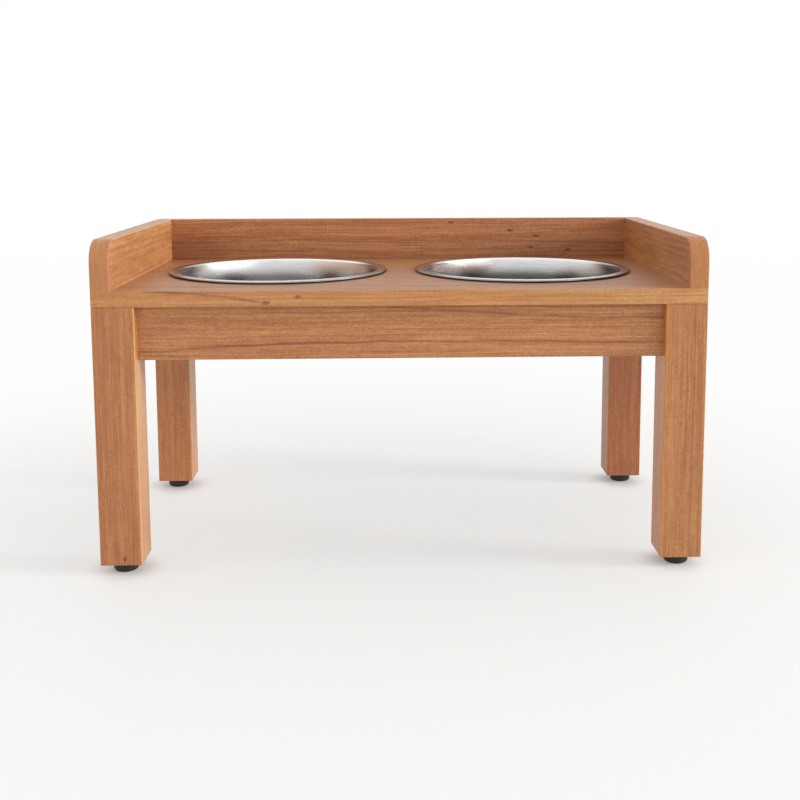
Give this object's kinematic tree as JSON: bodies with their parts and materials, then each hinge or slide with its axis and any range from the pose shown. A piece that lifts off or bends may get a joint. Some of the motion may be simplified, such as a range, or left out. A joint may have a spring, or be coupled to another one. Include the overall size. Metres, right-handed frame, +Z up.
{
  "type": "raised dog feeder stand",
  "caption": "Low wooden table on square legs with a raised rail around the back and sides, holding round steel bowls that lift out of cut-outs in its top.",
  "frame": {"origin": "on the floor under the middle of the stand, level with the undersides of the feet", "axes": "+X to the right along the width, +Y from the open front to the back rail, +Z up"},
  "size_m": [0.56, 0.295, 0.3115],
  "materials": {
    "wood": "oiled, satin, reddish brown with fine straight grain",
    "dowel_wood": "plain pale beech, raw",
    "bowl_steel": "satin stainless steel",
    "zinc_steel": "zinc plated",
    "rubber": "matt black"
  },
  "bodies": {
    "stand": {"top_panel": "wood", "back_rail": "wood", "left_rail": "wood", "right_rail": "wood", "front_apron": "wood", "rear_apron": "wood", "left_apron": "wood", "right_apron": "wood", "front_left_leg": "wood", "front_right_leg": "wood", "rear_left_leg": "wood", "rear_right_leg": "wood", "front_left_block": "wood", "front_right_block": "wood", "rear_left_block": "wood", "rear_right_block": "wood", "apron_dowels": "dowel_wood", "rail_dowels": "dowel_wood", "rail_corner_dowels": "dowel_wood", "apron_screws": "zinc_steel", "top_screws": "zinc_steel", "front_left_foot": "rubber", "front_right_foot": "rubber", "rear_left_foot": "rubber", "rear_right_foot": "rubber", "foot_washers": "zinc_steel", "foot_screws": "zinc_steel"},
    "left_bowl": {"left_bowl": "bowl_steel"},
    "right_bowl": {"right_bowl": "bowl_steel"}
  },
  "joints": [
    {"name": "left_bowl_lift", "type": "slide", "parent": "stand", "child": "left_bowl", "axis": [0, 0, 1], "range_m": [0, 0.12]},
    {"name": "right_bowl_lift", "type": "slide", "parent": "stand", "child": "right_bowl", "axis": [0, 0, 1], "range_m": [0, 0.12]}
  ]
}
